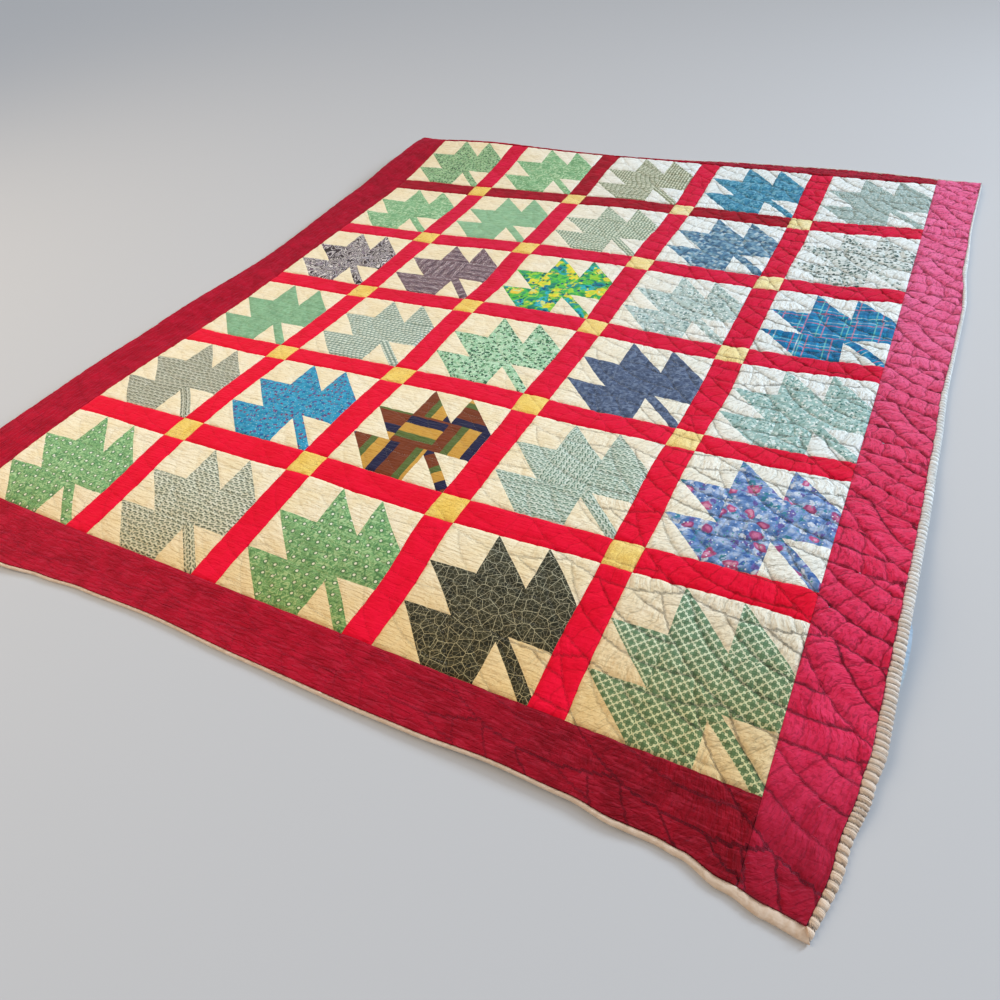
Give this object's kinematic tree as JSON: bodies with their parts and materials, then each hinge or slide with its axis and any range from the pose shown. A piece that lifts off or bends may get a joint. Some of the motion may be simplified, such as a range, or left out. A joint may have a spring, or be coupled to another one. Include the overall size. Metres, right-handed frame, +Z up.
{
  "type": "patchwork quilt",
  "caption": "Leaf-block patchwork quilt with red sashing, a wide crimson border and a pale bound rim, laid out flat in soft swells with one edge turned down.",
  "frame": {"origin": "middle of the laid-out quilt's box, on the floor", "axes": "+X across to the right, +Y along the quilt to its far end, +Z up"},
  "size_m": [1.6334, 1.9144, 0.0451],
  "materials": {
    "patchwork": "cotton patchwork, cream, green and blue prints, hand quilted",
    "sashing": "bright red plain cotton",
    "cornerstone": "yellow printed cotton",
    "border": "crimson plain cotton, crinkled by quilting",
    "binding": "cream cotton, puckered",
    "backing": "pale blue-white cotton",
    "thread": "cotton quilting thread"
  },
  "bodies": {
    "root": {"pieced_field": "patchwork", "border_left": "border", "border_right": "border", "border_near": "border", "border_far": "border", "binding_left": "binding", "binding_right": "binding", "binding_near": "binding", "binding_far": "binding", "backing": "backing"}
  },
  "joints": []
}
